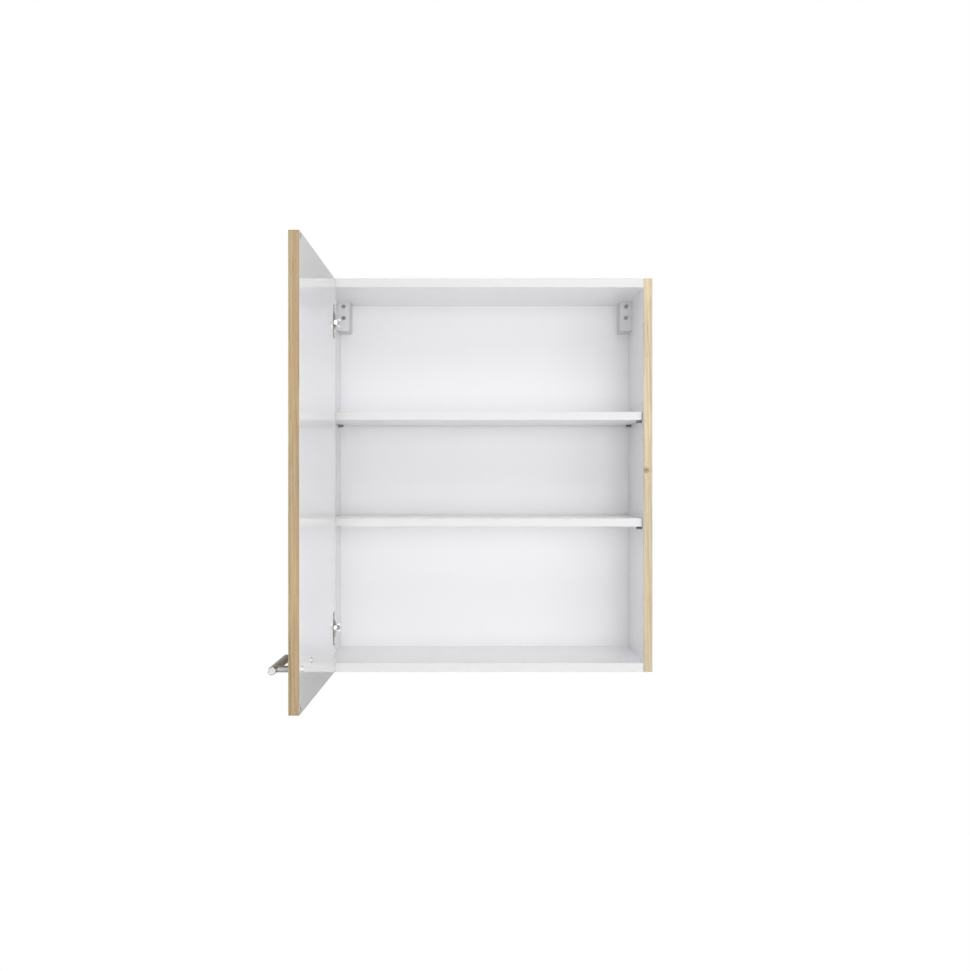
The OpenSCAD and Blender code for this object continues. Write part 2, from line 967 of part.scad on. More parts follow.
module handle_bar() {
  color(steel)
    in_door()
      translate([bar_u, -door_t - bar_out, bar_z])
        rotate([0, 90, 0])
          union() {
            cylinder(d = bar_d, h = bar_l - 2 * bar_chamfer, center = true);
            for (side = [0, 180])
              rotate([side, 0, 0])
                translate([0, 0, bar_l / 2 - bar_chamfer])
                  cylinder(d1 = bar_d, d2 = bar_d - 2 * bar_chamfer, h = bar_chamfer);
          }
}

module handle_posts() {
  color(steel)
    in_door()
      for (u = post_u)
        difference() {
          translate([u, -door_t, bar_z])
            rotate([90, 0, 0])
              cylinder(d = post_d, h = bar_out);
          translate([u - post_d, -door_t - bar_out, bar_z])
            rotate([0, 90, 0])
              cylinder(d = bar_d, h = 2 * post_d);
          translate([u, -door_t + 1, bar_z])
            rotate([90, 0, 0])
              cylinder(d = handle_screw_d, h = handle_screw_in_post + 1.5);
        }
}

module handle_screws() {
  color(dark_steel)
    in_door()
      for (u = post_u)
        translate([u, 0, bar_z])
          rotate([90, 0, 0])
            difference() {
              union() {
                cylinder(d = handle_screw_d, h = door_t + handle_screw_in_post);
                translate([0, 0, -handle_screw_head_t])
                  cylinder(d = handle_screw_head_d, h = handle_screw_head_t);
              }
              translate([0, 0, -handle_screw_head_t])
                rotate([180, 0, 0])
                  cross_recess(cross_w, cross_l, cross_deep);
            }
}

module door_bumpers() {
  color(grey_plastic)
    in_door()
      for (w = [bumper_inset, door_h - bumper_inset])
        translate([door_w - bumper_inset, bumper_t, w])
          rotate([90, 0, 0])
            cylinder(d = bumper_d, h = bumper_t);
}

left_side_panel();
right_side_panel();
top_panel();
bottom_panel();
back_panel();
left_side_edge_band();
right_side_edge_band();
top_edge_band();
bottom_edge_band();
carcass_dowels();
cam_bolts();
cam_locks();
cam_covers();
left_wall_plate();
right_wall_plate();
left_hanger_housing();
right_hanger_housing();
left_hanger_hook();
right_hanger_hook();
hanger_height_screws();
hanger_depth_screws();
hanger_pegs();
upper_shelf_pins();
lower_shelf_pins();
upper_hinge_plate();
lower_hinge_plate();
hinge_plate_screws();
upper_hinge_arm();
lower_hinge_arm();
hinge_fixing_screws();
hinge_side_screws();
hinge_leaf_springs();
hinge_arm_pins();
upper_outer_link();
lower_outer_link();
upper_inner_link();
lower_inner_link();
inner_link_pins();
upper_hinge_cup();
lower_hinge_cup();
hinge_cup_pins();
hinge_cup_screws();
door_board();
door_hinge_edge_band();
door_free_edge_band();
door_top_edge_band();
door_bottom_edge_band();
handle_bar();
handle_posts();
handle_screws();
door_bumpers();
upper_shelf();
upper_shelf_edge_band();
lower_shelf();
lower_shelf_edge_band();
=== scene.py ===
import json
import math

import bmesh
import bpy
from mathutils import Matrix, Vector

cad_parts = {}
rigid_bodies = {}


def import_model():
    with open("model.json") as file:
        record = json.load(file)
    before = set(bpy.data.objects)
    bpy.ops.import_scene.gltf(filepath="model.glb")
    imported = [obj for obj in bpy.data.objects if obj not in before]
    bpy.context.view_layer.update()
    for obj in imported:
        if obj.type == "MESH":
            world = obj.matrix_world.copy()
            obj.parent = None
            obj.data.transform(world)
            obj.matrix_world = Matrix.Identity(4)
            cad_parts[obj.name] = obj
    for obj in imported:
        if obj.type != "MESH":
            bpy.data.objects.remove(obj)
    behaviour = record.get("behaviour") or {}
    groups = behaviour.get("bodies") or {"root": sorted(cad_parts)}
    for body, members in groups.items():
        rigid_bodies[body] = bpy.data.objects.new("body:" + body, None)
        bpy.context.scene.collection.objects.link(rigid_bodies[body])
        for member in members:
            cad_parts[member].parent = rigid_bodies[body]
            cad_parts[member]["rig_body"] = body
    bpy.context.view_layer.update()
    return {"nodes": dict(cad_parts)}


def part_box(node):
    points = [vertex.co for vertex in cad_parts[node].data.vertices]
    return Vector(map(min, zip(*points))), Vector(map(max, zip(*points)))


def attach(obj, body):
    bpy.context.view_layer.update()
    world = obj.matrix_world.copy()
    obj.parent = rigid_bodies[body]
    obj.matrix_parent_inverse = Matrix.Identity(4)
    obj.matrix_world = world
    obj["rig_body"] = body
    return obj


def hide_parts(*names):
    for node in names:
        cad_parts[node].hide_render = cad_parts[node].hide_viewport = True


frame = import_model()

MM = 0.001


# ---------------------------------------------------------------- places taken from the frame

def low(node):
    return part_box(node)[0]


def high(node):
    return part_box(node)[1]


FRONT_Y = low("right_side_edge_band").y
CARCASS_TOP = high("right_side_panel").z
CARCASS_BOTTOM = low("right_side_panel").z
CARCASS_MIDDLE = (CARCASS_TOP + CARCASS_BOTTOM) / 2
INNER_X = low("right_side_panel").x


# ---------------------------------------------------------------- material helpers

class Shader:
    """A material's node tree with short names for the nodes used here."""

    def __init__(self, name):
        self.material = bpy.data.materials.new(name)
        self.material.use_nodes = True
        self.tree = self.material.node_tree
        self.bsdf = self.tree.nodes["Principled BSDF"]
        self.place = self.add("ShaderNodeTexCoord").outputs["Object"]

    def add(self, kind, **settings):
        node = self.tree.nodes.new(kind)
        for key, value in settings.items():
            setattr(node, key, value)
        return node

    def link(self, source, target):
        self.tree.links.new(source, target)

    def put(self, socket, value):
        """Links an output to a socket, or sets a plain value on it."""
        if isinstance(value, bpy.types.NodeSocket):
            self.link(value, socket)
        else:
            socket.default_value = value

    def set(self, **values):
        for key, value in values.items():
            self.put(self.bsdf.inputs[key.replace("_", " ")], value)

    def scaled(self, scale):
        node = self.add("ShaderNodeMapping")
        self.link(self.place, node.inputs["Vector"])
        node.inputs["Scale"].default_value = scale
        return node.outputs["Vector"]

    def math(self, operation, a, b=0.0, c=0.0):
        node = self.add("ShaderNodeMath", operation=operation)
        for socket, value in zip(node.inputs, (a, b, c)):
            self.put(socket, value)
        return node.outputs[0]

    def noise(self, vector, scale, detail, rough=0.5):
        node = self.add("ShaderNodeTexNoise")
        self.link(vector, node.inputs["Vector"])
        node.inputs["Scale"].default_value = scale
        node.inputs["Detail"].default_value = detail
        node.inputs["Roughness"].default_value = rough
        return node.outputs["Fac"]

    def cells(self, vector, scale, feature="F1", output="Distance"):
        node = self.add("ShaderNodeTexVoronoi", feature=feature)
        self.link(vector, node.inputs["Vector"])
        node.inputs["Scale"].default_value = scale
        return node.outputs[output]

    def bands(self, direction, scale):
        node = self.add("ShaderNodeTexWave", wave_type="BANDS", bands_direction=direction)
        self.link(self.place, node.inputs["Vector"])
        node.inputs["Scale"].default_value = scale
        return node.outputs["Fac"]

    def span(self, value, from_low, from_high, to_low=0.0, to_high=1.0, smooth=False):
        node = self.add("ShaderNodeMapRange")
        if smooth:
            node.interpolation_type = "SMOOTHSTEP"
        self.put(node.inputs["Value"], value)
        node.inputs["From Min"].default_value = from_low
        node.inputs["From Max"].default_value = from_high
        node.inputs["To Min"].default_value = to_low
        node.inputs["To Max"].default_value = to_high
        return node.outputs["Result"]

    def ramp(self, value, *stops):
        node = self.add("ShaderNodeValToRGB")
        self.put(node.inputs["Fac"], value)
        ramp = node.color_ramp
        while len(ramp.elements) < len(stops):
            ramp.elements.new(0.5)
        for element, (position, colour) in zip(ramp.elements, stops):
            element.position = position
            element.color = (*colour, 1.0)
        return node.outputs["Color"]

    def mix(self, factor, a, b, blend="MIX"):
        node = self.add("ShaderNodeMix", data_type="RGBA", blend_type=blend)
        self.put(node.inputs[0], factor)
        for socket, value in ((node.inputs[6], a), (node.inputs[7], b)):
            self.put(socket, (*value, 1.0) if isinstance(value, tuple) else value)
        return node.outputs[2]

    def tinted(self, colour, share, first, second):
        """The colour multiplied by a tint that goes from first to second as share goes from 0 to 1."""
        return self.mix(1.0, colour, self.mix(share, first, second), "MULTIPLY")

    def bump(self, height, depth):
        """Gives the surface a relief of the given depth in metres."""
        node = self.add("ShaderNodeBump")
        node.inputs["Distance"].default_value = depth
        self.link(height, node.inputs["Height"])
        self.link(node.outputs["Normal"], self.bsdf.inputs["Normal"])


# ---------------------------------------------------------------- materials

# Stretch of oak's patterns along the grain: slow bands, short dashes, fibres and streaks, pores
GRAIN_SHARES = (0.10, 0.045, 0.012, 0.05)
# Growth rings, and the places and shades from the start of one to the next
RINGS_PER_METRE = 150.0
RING_SHADES = ((0.0, 0.75), (0.10, 0.05), (0.55, 0.25), (0.93, 1.0), (1.0, 0.75))
# The heart line's depth behind the board, and the place along the grain where it is that deep
HEART_DEPTH = 8 * MM
HEART_START = -0.64
# Shares of red, green and blue in streaks and knots, and the tints of a leaning colour
WARM_SHARES = (1.00, 0.86, 0.74)
PALE_SHARES = (1.10, 1.13, 1.00)
KNOT_SHARES = (0.62, 0.55, 0.48)
OLIVE_TINT = (0.97, 1.02, 0.97)
ROSE_TINT = (1.02, 0.975, 1.02)
OAK_GLOSS = 0.44
# Distance from the carcass's ends at which the darker foot starts and stops
FOOT_MARGIN = 0.2
CHIPS_PER_METRE = 520.0
SCREEN_SCALE = 190.0


def shaded(tint, share):
    """The tint made darker, or brighter, by a share."""
    return tuple(c * share for c in tint)


def white_melamine(name, tint=(0.93, 0.925, 0.94), gloss=0.28, relief=0.0025 * MM):
    """White laminate: a faint pearl relief, with its sheen and whiteness varying grain by grain."""
    s = Shader(name)
    grain = s.noise(s.place, 1100.0, 2.0)
    s.set(Base_Color=s.mix(s.span(grain, 0.3, 0.7), tint, shaded(tint, 0.985)))
    s.set(Roughness=s.span(grain, 0.3, 0.7, gloss - 0.01, gloss + 0.01), IOR=1.5)
    s.bump(grain, relief)
    return s.material


def edge_banding(name, tint):
    """White ABS edge band: even colour, soft sheen and fine lines from the trimming along its length."""
    s = Shader(name)
    lines = s.noise(s.scaled((3, 2500, 2500)), 1.0, 2.0)
    s.set(Base_Color=s.mix(s.span(lines, 0.3, 0.7), tint, shaded(tint, 0.98)))
    s.set(Roughness=s.span(lines, 0.3, 0.7, 0.30, 0.40))
    s.bump(lines, 0.01 * MM)
    return s.material


def oak_decor(name, light, dark, grain="Z", heart=0.0, tilt=0.075, knots=(), foot=1.0, lean=None):
    """Oak laminate, as a board sawn beside the heart: rings, pores, fibres, warm and pale streaks, knots.

    The rings are circles round a heart line that runs with the grain and slants away from the board.
    Knots are pairs of a place and a size. Foot is the shade of the lower end, and lean is the pair of
    X places between which the tint turns from olive to rose.
    """
    s = Shader(name)
    slow, short, fast, finest = (s.scaled((1, 1, k) if grain == "Z" else (1, k, 1)) for k in GRAIN_SHARES)
    split = s.add("ShaderNodeSeparateXYZ")
    s.link(s.place, split.inputs[0])
    x, y, z = split.outputs
    along, beside = (z, y) if grain == "Z" else (y, z)

    # Growth rings, pushed outward around each knot
    wander = s.span(s.noise(slow, 5.0, 3.0), 0.0, 1.0, -0.045, 0.045)
    ripple = s.span(s.noise(slow, 42.0, 3.0, 0.6), 0.0, 1.0, -0.006, 0.006)
    across = s.math("ADD", s.math("ADD", x, beside), s.math("ADD", wander, ripple))
    across = s.math("SUBTRACT", across, heart)
    depth = s.math("MULTIPLY_ADD", along, tilt, HEART_DEPTH - HEART_START * tilt)
    squares = s.math("ADD", s.math("MULTIPLY", across, across), s.math("MULTIPLY", depth, depth))
    radius = s.math("SQRT", squares)
    for spot, size in knots:
        push = s.span(distance_to(s, spot), 0.0, size * 3.2, size * 1.1, 0.0, smooth=True)
        radius = s.math("ADD", radius, push)
    ring = s.math("FRACT", s.math("MULTIPLY", radius, RINGS_PER_METRE))
    late = s.ramp(ring, *((place, (shade, shade, shade)) for place, shade in RING_SHADES))

    # The share of the dark colour, from the rings and three widths of fibre
    strength = s.span(s.noise(slow, 30.0, 2.0), 0.3, 0.7, 0.35, 0.95)
    fibres = s.noise(fast, 1500.0, 3.0, 0.7)
    streaks = s.noise(fast, 260.0, 4.0, 0.7)
    dashes = s.noise(short, 380.0, 3.0, 0.6)
    tone = s.math("ADD", s.math("MULTIPLY", late, strength), s.span(streaks, 0.3, 0.7, -0.45, 0.55))
    tone = s.math("ADD", tone, s.span(fibres, 0.3, 0.7, -0.15, 0.2))
    tone = s.math("ADD", tone, s.span(dashes, 0.52, 0.70, 0.0, 0.55))
    colour = s.mix(s.span(tone, -0.1, 1.3), light, dark)

    # Warm and pale streaks, then the pores
    warm = s.span(s.noise(slow, 48.0, 2.0), 0.46, 0.66, 0.0, 0.7)
    colour = s.mix(warm, colour, tuple(c * k for c, k in zip(light, WARM_SHARES)))
    pale = s.span(s.noise(slow, 75.0, 3.0), 0.50, 0.70, 0.0, 0.55)
    colour = s.mix(pale, colour, tuple(min(c * k, 0.9) for c, k in zip(light, PALE_SHARES)))
    pore_spots = s.span(s.noise(finest, 2100.0, 1.0), 0.64, 0.73)
    pores = s.math("MULTIPLY", pore_spots, s.span(ring, 0.15, 0.6, 1.0, 0.30))
    colour = s.mix(s.math("MULTIPLY", pores, 0.5), colour, shaded(dark, 0.40))

    for spot, size in knots:
        colour = knot_colour(s, colour, dark, spot, size, ripple)
    if foot < 1.0:
        height = s.span(along, CARCASS_BOTTOM + FOOT_MARGIN, CARCASS_TOP - FOOT_MARGIN, smooth=True)
        colour = s.tinted(colour, height, (foot, foot, foot), (1.0, 1.0, 1.0))
    if lean:
        colour = s.tinted(colour, s.span(x, *lean), OLIVE_TINT, ROSE_TINT)
    s.set(Base_Color=colour)

    sheen = s.span(fibres, 0.3, 0.8, OAK_GLOSS - 0.05, OAK_GLOSS + 0.08)
    s.set(Roughness=s.math("MULTIPLY_ADD", pores, 0.2, sheen))
    relief = s.math("SUBTRACT", s.math("MULTIPLY", fibres, 0.25), pores)
    s.bump(s.math("MULTIPLY_ADD", late, -0.15, relief), 0.06 * MM)
    return s.material


def knot_colour(s, colour, dark, spot, size, ripple):
    """The colour with a knot on it: whorls around a nearly black core."""
    away = s.math("ADD", distance_to(s, spot), s.math("MULTIPLY", ripple, size * 40.0))
    halo = s.span(away, size * 0.45, size * 1.15, 1.0, 0.0, smooth=True)
    whorl = s.math("FRACT", s.math("DIVIDE", away, size * 0.19))
    colour = s.mix(s.math("MULTIPLY", halo, s.span(whorl, 0.0, 1.0, 0.45, 0.80)), colour,
                   tuple(c * k for c, k in zip(dark, KNOT_SHARES)))
    core = s.span(away, size * 0.15, size * 0.42, 1.0, 0.0, smooth=True)
    return s.mix(s.math("MULTIPLY", core, 0.8), colour, shaded(dark, 0.30))


def distance_to(s, spot):
    """Distance from a point to each place on the surface."""
    away = s.add("ShaderNodeVectorMath", operation="DISTANCE")
    s.link(s.place, away.inputs[0])
    away.inputs[1].default_value = spot
    return away.outputs["Value"]


def particle_board(name):
    """Raw board edge: pale chips, darker bark specks and open gaps between them."""
    s = Shader(name)
    squeezed = s.scaled((1, 1, 1.6))
    tone = s.add("ShaderNodeSeparateColor")
    s.link(s.cells(squeezed, CHIPS_PER_METRE, output="Color"), tone.inputs[0])
    gaps = s.cells(squeezed, CHIPS_PER_METRE, feature="DISTANCE_TO_EDGE")
    dust = s.noise(s.place, 1600.0, 3.0)
    colour = s.ramp(tone.outputs[0], (0.0, (0.36, 0.22, 0.11)), (0.25, (0.55, 0.39, 0.22)),
                    (0.7, (0.66, 0.50, 0.31)), (1.0, (0.74, 0.60, 0.40)))
    colour = s.mix(s.span(gaps, 0.0, 0.06, 0.55, 0.0), colour, (0.20, 0.13, 0.07))
    colour = s.mix(s.span(dust, 0.4, 0.7, 0.0, 0.3), colour, (0.50, 0.36, 0.22))
    s.set(Base_Color=colour, Roughness=0.85)
    s.bump(s.math("ADD", s.span(gaps, 0.0, 0.1), dust), 0.2 * MM)
    return s.material


def hardboard(name):
    """Back of the back panel: brown pressed fibre with the print of the pressing screen."""
    s = Shader(name)
    fibre = s.noise(s.place, 420.0, 5.0, 0.7)
    blot = s.noise(s.place, 22.0, 3.0)
    screen = s.math("MULTIPLY", s.bands("X", SCREEN_SCALE), s.bands("Z", SCREEN_SCALE))
    colour = s.mix(s.span(fibre, 0.3, 0.7), (0.20, 0.115, 0.06), (0.33, 0.20, 0.11))
    colour = s.mix(s.span(blot, 0.4, 0.7, 0.0, 0.35), colour, (0.25, 0.15, 0.08))
    s.set(Base_Color=s.mix(s.math("MULTIPLY", screen, 0.3), colour, (0.14, 0.08, 0.04)))
    s.set(Roughness=0.8)
    s.bump(s.math("ADD", screen, s.math("MULTIPLY", fibre, 0.5)), 0.15 * MM)
    return s.material


def metal(name, tint, rough, grime, brushed=False):
    """Metal with a fine uneven finish, or with brush marks along Y."""
    s = Shader(name)
    cloud = s.noise(s.place, 120.0, 4.0, 0.6)
    roughness = s.span(cloud, 0.3, 0.75, rough - 0.05, rough + 0.07)
    if brushed:
        lines = s.noise(s.scaled((1, 1 / 64, 1)), 3200.0, 3.0, 0.7)
        roughness = s.math("ADD", roughness, s.span(lines, 0.3, 0.7, -0.06, 0.10))
        s.bump(lines, 0.008 * MM)
    else:
        s.bump(s.noise(s.place, 900.0, 3.0), 0.006 * MM)
    s.set(Base_Color=s.mix(s.span(cloud, 0.35, 0.75), tint, shaded(tint, 1.0 - grime)))
    s.set(Metallic=1.0, Roughness=roughness)
    return s.material


def zinc(name):
    """Zinc plating: bluish crystals of slightly different brightness."""
    s = Shader(name)
    crystal = s.add("ShaderNodeSeparateColor")
    s.link(s.cells(s.place, 260.0, output="Color"), crystal.inputs[0])
    tone = crystal.outputs[0]
    s.set(Base_Color=s.mix(tone, (0.60, 0.63, 0.66), (0.74, 0.76, 0.78)), Metallic=1.0)
    s.set(Roughness=s.span(tone, 0.0, 1.0, 0.30, 0.44))
    s.bump(s.noise(s.place, 800.0, 3.0), 0.01 * MM)
    return s.material


def plastic(name, tint, rough):
    """Moulded plastic with a fine spark-eroded grain."""
    s = Shader(name)
    spots = s.noise(s.place, 60.0, 3.0)
    s.set(Base_Color=s.mix(s.span(spots, 0.35, 0.7), tint, shaded(tint, 0.96)))
    s.set(Roughness=s.span(spots, 0.3, 0.7, rough - 0.04, rough + 0.06))
    s.bump(s.noise(s.place, 2200.0, 2.0), 0.02 * MM)
    return s.material


def clear_plastic(name):
    """Clear soft plastic, slightly cloudy."""
    s = Shader(name)
    haze = s.noise(s.place, 900.0, 3.0)
    s.set(Base_Color=s.mix(haze, (0.93, 0.94, 0.94), (0.86, 0.87, 0.87)))
    s.set(Roughness=s.span(haze, 0.3, 0.7, 0.22, 0.34), IOR=1.42, Transmission_Weight=0.85)
    return s.material


def beech(name):
    """Beech dowel wood with short dark flecks along its length."""
    s = Shader(name)
    flecks = s.noise(s.scaled((0.12, 1, 1)), 1300.0, 2.0)
    tone = s.noise(s.scaled((0.1, 1, 1)), 300.0, 3.0)
    colour = s.mix(tone, (0.62, 0.42, 0.24), (0.72, 0.53, 0.33))
    s.set(Base_Color=s.mix(s.span(flecks, 0.62, 0.72, 0.0, 0.5), colour, (0.38, 0.22, 0.11)), Roughness=0.6)
    s.bump(flecks, 0.04 * MM)
    return s.material


# Knots are measured on the front of the right side's band, and invented on the large faces
BAND_KNOT = (INNER_X + 5.2 * MM, FRONT_Y, CARCASS_BOTTOM + 361 * MM)
SMALL_KNOT = (INNER_X + 3.0 * MM, FRONT_Y, CARCASS_BOTTOM + 335 * MM)
RIGHT_KNOT = (0.30, FRONT_Y * 0.35, CARCASS_BOTTOM + 0.19)
LEFT_KNOT = (-0.30, FRONT_Y * 0.6, CARCASS_BOTTOM + 0.51)
DOOR_OUTSIDE = low("door_board").x
DOOR_INSIDE = high("door_board").x
UPPER_DOOR_KNOT = (DOOR_OUTSIDE, FRONT_Y - 0.21, CARCASS_BOTTOM + 0.45)
LOWER_DOOR_KNOT = (DOOR_OUTSIDE, FRONT_Y - 0.47, CARCASS_BOTTOM + 0.22)
SIDE_OAK = ((0.61, 0.52, 0.36), (0.39, 0.295, 0.17))
DOOR_OAK = ((0.405, 0.300, 0.164), (0.227, 0.152, 0.074))
MATERIALS = {
    "melamine": white_melamine("white_melamine"),
    "door_inside": white_melamine("door_inside_melamine", tint=(0.90, 0.90, 0.91), gloss=0.06,
                                  relief=0.0006 * MM),
    "back_lacquer": white_melamine("back_panel_lacquer", gloss=0.40),
    # The white edge bands' grey tint is painted shade: darker than the white faces so the front edges, lit
    # head-on by the front lamps, come out no brighter than the inside
    "white_band": edge_banding("white_edge_band_painted_shade", (0.62, 0.62, 0.62)),
    "side_oak": oak_decor("side_oak_decor", *SIDE_OAK, heart=0.14,
                          knots=((RIGHT_KNOT, 0.010), (LEFT_KNOT, 0.008))),
    "band_oak": oak_decor("side_band_oak", *SIDE_OAK, heart=-0.12,
                          knots=((BAND_KNOT, 0.0066), (SMALL_KNOT, 0.0014)), foot=0.87),
    "door_oak": oak_decor("door_front_oak", *DOOR_OAK, heart=FRONT_Y - 0.63, tilt=-0.06,
                          knots=((UPPER_DOOR_KNOT, 0.014), (LOWER_DOOR_KNOT, 0.009))),
    "door_band": oak_decor("door_band_oak", *DOOR_OAK, heart=-0.10, lean=(DOOR_OUTSIDE, DOOR_INSIDE)),
    "door_band_level": oak_decor("door_band_oak_level", *DOOR_OAK, grain="Y", heart=-0.2),
    "raw_board": particle_board("raw_particle_board"),
    "hardboard": hardboard("brown_hardboard"),
    "beech": beech("beech_dowel"),
    "nickel": metal("satin_nickel", (0.74, 0.73, 0.71), 0.24, 0.08),
    "screw": metal("screw_steel", (0.52, 0.52, 0.53), 0.32, 0.15),
    "pin": metal("dark_pin_steel", (0.20, 0.20, 0.21), 0.36, 0.2),
    # Near-black metal on the hinge cup flange's rim: a painted shadow line beside the cup
    "flange_rim_shadow_paint": metal("nickel_rim_painted_shadow", (0.20, 0.195, 0.19), 0.55, 0.3),
    "dull_screw": metal("dull_screw_steel", (0.30, 0.30, 0.305), 0.45, 0.2),
    "bright_screw": metal("bright_screw_steel", (0.70, 0.70, 0.70), 0.55, 0.1),
    "stainless": metal("brushed_stainless", (0.40, 0.395, 0.385), 0.30, 0.12, brushed=True),
    # The handle bar's end faces: the same stainless with a brighter tint as a painted highlight, and a
    # turned finish without brush marks
    "bar_end_highlight_paint": metal("stainless_end_painted_highlight", (0.50, 0.495, 0.485), 0.34, 0.08),
    "zinc": zinc("zinc_plate"),
    "hanger": plastic("grey_hanger_plastic", (0.735, 0.735, 0.745), 0.45),
    "white_plastic": plastic("white_plastic", (0.82, 0.82, 0.81), 0.38),
    "bumper": clear_plastic("clear_bumper"),
}


# ---------------------------------------------------------------- shape helpers

WELD = 1e-6
FLAT_ANGLE = math.radians(0.3)
CORNER_ANGLE = math.radians(32)
SMOOTH_ANGLE = math.radians(50)
EASING_STEPS = 3
FACING = 0.9


def shape_from(node):
    """The CAD node's mesh with its coplanar triangles joined."""
    bm = bmesh.new()
    bm.from_mesh(frame["nodes"][node].data)
    bmesh.ops.remove_doubles(bm, verts=bm.verts, dist=WELD)
    bmesh.ops.dissolve_limit(bm, angle_limit=FLAT_ANGLE, verts=bm.verts, edges=bm.edges)
    return bm


def ease_edges(bm, width):
    """Rounds every outward corner that is sharper than the corner angle."""
    edges = []
    for edge in bm.edges:
        if len(edge.link_faces) == 2 and edge.is_convex:
            if edge.calc_face_angle(0.0) > CORNER_ANGLE:
                edges.append(edge)
    if edges:
        bmesh.ops.bevel(bm, geom=edges, offset=width, segments=EASING_STEPS, profile=0.5,
                        affect="EDGES", clamp_overlap=True)


def paint(bm, choose):
    """Gives each face the material slot that choose(centre, normal) returns."""
    bm.normal_update()
    for face in bm.faces:
        face.material_index = choose(face.calc_center_median(), face.normal)


def stand_in(node, materials, width, choose=None):
    """Replaces a CAD node by the same shape with edges eased by a width in mm and its own materials."""
    bm = shape_from(node)
    if choose:
        paint(bm, choose)
    ease_edges(bm, width * MM)
    name = node + "_look"
    mesh = bpy.data.meshes.new(name)
    bm.to_mesh(mesh)
    bm.free()
    for key in materials:
        mesh.materials.append(MATERIALS[key])
    mesh.shade_smooth()
    mesh.set_sharp_from_angle(angle=SMOOTH_ANGLE)
    obj = bpy.data.objects.new(name, mesh)
    bpy.context.scene.collection.objects.link(obj)
    weighted = obj.modifiers.new("even_shading", "WEIGHTED_NORMAL")
    weighted.keep_sharp = True
    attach(obj, frame["nodes"][node]["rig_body"])
    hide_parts(node)


# ---------------------------------------------------------------- carcass

def side_faces(outward):
    """Oak outside and on the ends, white inside, raw board in the bores, the groove and at the back."""
    def choose(centre, normal):
        facing_out = normal.x * outward
        at_end = centre.z > CARCASS_TOP - MM or centre.z < CARCASS_BOTTOM + MM
        if facing_out > FACING or (abs(normal.z) > FACING and at_end):
            return 0
        if facing_out < -FACING and abs(abs(centre.x) - INNER_X) < MM:
            return 1
        return 2
    return choose


def panel_faces(centre, normal):
    """White on both sides, raw board on the cut edges."""
    return 0 if abs(normal.z) > FACING else 1


def back_faces(centre, normal):
    """White lacquer at the front, brown fibre elsewhere."""
    return 0 if normal.y < -FACING else 1


def build_carcass():
    stand_in("left_side_panel", ["side_oak", "melamine", "raw_board"], 0.25, side_faces(-1))
    stand_in("right_side_panel", ["side_oak", "melamine", "raw_board"], 0.25, side_faces(1))
    for node in ("top_panel", "bottom_panel", "upper_shelf", "lower_shelf"):
        stand_in(node, ["melamine", "raw_board"], 0.2, panel_faces)
    stand_in("back_panel", ["back_lacquer", "hardboard"], 0.2, back_faces)
    for node in ("left_side_edge_band", "right_side_edge_band"):
        stand_in(node, ["band_oak"], 0.35)
    # The front edges take the grey band material, whose tint is painted shade
    for node in ("top_edge_band", "bottom_edge_band", "upper_shelf_edge_band", "lower_shelf_edge_band"):
        stand_in(node, ["white_band"], 0.35)
    stand_in("carcass_dowels", ["beech"], 0.8)
    stand_in("cam_bolts", ["screw"], 0.4)
    stand_in("cam_locks", ["zinc"], 0.3)
    stand_in("cam_covers", ["white_plastic"], 0.25)


# ---------------------------------------------------------------- door

def door_faces(centre, normal):
    """White inner face, oak outer face, raw board in the bores and on the cut edges."""
    if normal.x > FACING and centre.x > DOOR_INSIDE - MM:
        return 0
    if normal.x < -FACING and centre.x < DOOR_OUTSIDE + MM:
        return 1
    return 2


def bar_faces(centre, normal):
    """The bar's turned ends have no brush marks, and they have a brighter tint than its brushed length as a
    painted highlight.
    """
    return 1 if abs(normal.y) > FACING else 0


def build_door():
    stand_in("door_board", ["door_inside", "door_oak", "raw_board"], 0.15, door_faces)
    for node in ("door_hinge_edge_band", "door_free_edge_band"):
        stand_in(node, ["door_band"], 0.35)
    for node in ("door_top_edge_band", "door_bottom_edge_band"):
        stand_in(node, ["door_band_level"], 0.35)
    stand_in("handle_bar", ["stainless", "bar_end_highlight_paint"], 0.25, bar_faces)
    stand_in("handle_posts", ["stainless"], 0.2)
    stand_in("handle_screws", ["bright_screw"], 0.35)
    stand_in("door_bumpers", ["bumper"], 0.6)


# ---------------------------------------------------------------- fittings

def cup_faces(centre, normal):
    """The flange's rim gets a near-black metal as a painted shadow line beside the door's edge, and the
    pressed faces are bright nickel.
    """
    return 1 if abs(normal.x) < 0.5 and centre.x > DOOR_INSIDE else 0


def build_fittings():
    for node in ("left_hanger_housing", "right_hanger_housing"):
        stand_in(node, ["hanger"], 0.7)
    for node in ("left_wall_plate", "right_wall_plate", "left_hanger_hook", "right_hanger_hook"):
        stand_in(node, ["zinc"], 0.3)
    for node in ("hanger_height_screws", "hanger_depth_screws"):
        stand_in(node, ["dull_screw"], 0.18)
    for node in ("hinge_plate_screws", "hinge_fixing_screws", "hinge_side_screws", "hinge_cup_screws",
                 "hinge_arm_pins", "hinge_cup_pins", "inner_link_pins"):
        stand_in(node, ["screw"], 0.18)
    for node in ("upper_shelf_pins", "lower_shelf_pins", "hinge_leaf_springs"):
        stand_in(node, ["pin"], 0.15)
    stand_in("hanger_pegs", ["white_plastic"], 0.5)
    for level in ("upper", "lower"):
        for part in ("hinge_plate", "hinge_arm", "outer_link", "inner_link"):
            stand_in(level + "_" + part, ["nickel"], 0.25)
        stand_in(level + "_hinge_cup", ["nickel", "flange_rim_shadow_paint"], 0.2, cup_faces)


# ---------------------------------------------------------------- studio

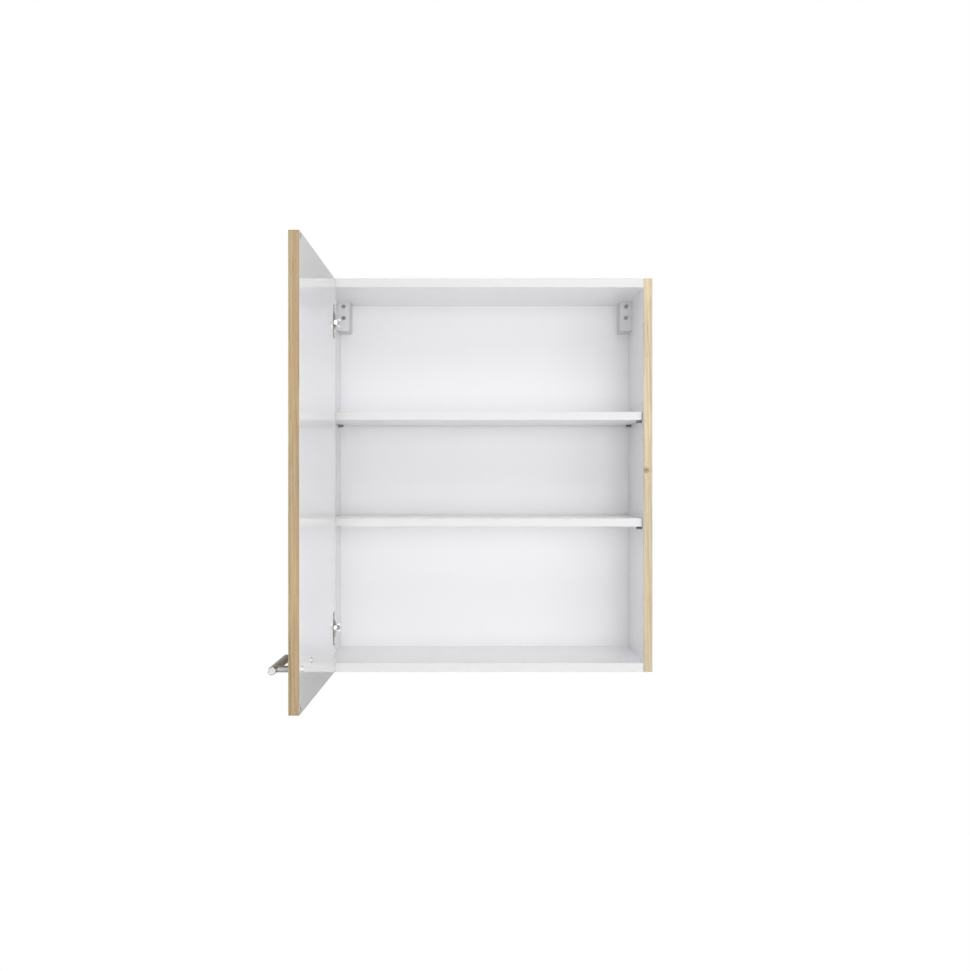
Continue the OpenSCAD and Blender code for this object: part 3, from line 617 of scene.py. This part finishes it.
CAMERA_DISTANCE = 3.080
CAMERA_SIDE = 0.0005
CAMERA_DROP = 0.0184
CAMERA_LENS = 63.84
CAMERA_CLIP = (0.05, 100.0)
FLOOR_DROP = 1.36
FLOOR_SIZE = 12.0
FLOOR_FAR_EDGE = 2.1
FLOOR_GREY = (0.8, 0.8, 0.8, 1.0)
# Each lamp's place, side length and power
LAMPS = {
    "key": ((1.2, FRONT_Y - 4.3, -0.2), 2.6, 34),
    "front": ((0.3, FRONT_Y - 5.5, -0.3), 1.6, 54),
    "high_fill": ((0.3, FRONT_Y - 2.3, 1.3), 1.4, 27),
    "low_fill": ((0.3, FRONT_Y - 2.3, -1.75), 1.4, 14),
    "right_side": ((3.2, -0.5, 0.2), 1.6, 3),
    "left_side": ((-3.8, -0.75, -0.1), 1.6, 70),
    "right_rear": ((2.6, 2.6, -0.1), 1.4, 75),
}
# The room's brightness all round, behind the object below and above its middle, and added in front
ROOM_AROUND = 0.47
ROOM_BEHIND = (0.0, 0.18)
ROOM_SOFTBOX = 0.05


def build_camera():
    data = bpy.data.cameras.new("camera")
    data.lens = CAMERA_LENS
    data.clip_start, data.clip_end = CAMERA_CLIP
    camera = bpy.data.objects.new("camera", data)
    camera.location = (CAMERA_SIDE, FRONT_Y - CAMERA_DISTANCE, CARCASS_MIDDLE - CAMERA_DROP)
    camera.rotation_euler = (math.pi / 2, 0, 0)
    bpy.context.scene.collection.objects.link(camera)
    bpy.context.scene.camera = camera


def build_floor():
    floor_middle = (0, FLOOR_FAR_EDGE - FLOOR_SIZE / 2, CARCASS_BOTTOM - FLOOR_DROP)
    bpy.ops.mesh.primitive_plane_add(size=FLOOR_SIZE, location=floor_middle)
    floor = bpy.context.object
    floor.name = "studio_floor"
    s = Shader("studio_floor")
    s.set(Base_Color=FLOOR_GREY, Roughness=0.9)
    floor.data.materials.append(s.material)


def build_lamp(name, place, size, power):
    data = bpy.data.lights.new(name, "AREA")
    data.shape = "SQUARE"
    data.size = size
    data.energy = power
    obj = bpy.data.objects.new(name, data)
    obj.location = place
    target = Vector((0, FRONT_Y / 2, CARCASS_MIDDLE))
    obj.rotation_euler = (target - Vector(place)).to_track_quat("-Z", "Y").to_euler()
    bpy.context.scene.collection.objects.link(obj)


def build_world():
    """A room that is bright behind the camera, and plain white where the camera sees it directly."""
    world = bpy.data.worlds.new("studio")
    bpy.context.scene.world = world
    world.use_nodes = True
    tree = world.node_tree
    tree.nodes.clear()

    def add(kind, **settings):
        node = tree.nodes.new(kind)
        for key, value in settings.items():
            setattr(node, key, value)
        return node

    def ranged(value, from_low, from_high, to_low, to_high):
        node = add("ShaderNodeMapRange", interpolation_type="SMOOTHSTEP")
        tree.links.new(value, node.inputs["Value"])
        for key, number in (("From Min", from_low), ("From Max", from_high),
                            ("To Min", to_low), ("To Max", to_high)):
            node.inputs[key].default_value = number
        return node.outputs["Result"]

    def combined(operation, a, b):
        node = add("ShaderNodeMath", operation=operation)
        tree.links.new(a, node.inputs[0])
        tree.links.new(b, node.inputs[1])
        return node.outputs[0]

    split = add("ShaderNodeSeparateXYZ")
    tree.links.new(add("ShaderNodeTexCoord").outputs["Generated"], split.inputs[0])
    rear = ranged(split.outputs["Y"], 0.2, 0.9, 0.0, 1.0)
    horizon = ranged(split.outputs["Z"], -0.15, 0.15, *ROOM_BEHIND)
    front = ranged(split.outputs["Y"], -0.75, -0.97, ROOM_AROUND, ROOM_AROUND + ROOM_SOFTBOX)
    room = add("ShaderNodeBackground")
    tree.links.new(combined("ADD", combined("MULTIPLY", rear, horizon), front), room.inputs["Strength"])
    paper = add("ShaderNodeBackground")
    paper.inputs["Color"].default_value = (1, 1, 1, 1)
    seen = add("ShaderNodeLightPath")
    either = add("ShaderNodeMixShader")
    tree.links.new(seen.outputs["Is Camera Ray"], either.inputs[0])
    tree.links.new(room.outputs[0], either.inputs[1])
    tree.links.new(paper.outputs[0], either.inputs[2])
    tree.links.new(either.outputs[0], add("ShaderNodeOutputWorld").inputs["Surface"])


def build_studio():
    build_camera()
    build_floor()
    for name, (place, size, power) in LAMPS.items():
        build_lamp(name, place, size, power)
    build_world()
    bpy.context.scene.view_settings.view_transform = "Standard"


build_carcass()
build_door()
build_fittings()
build_studio()
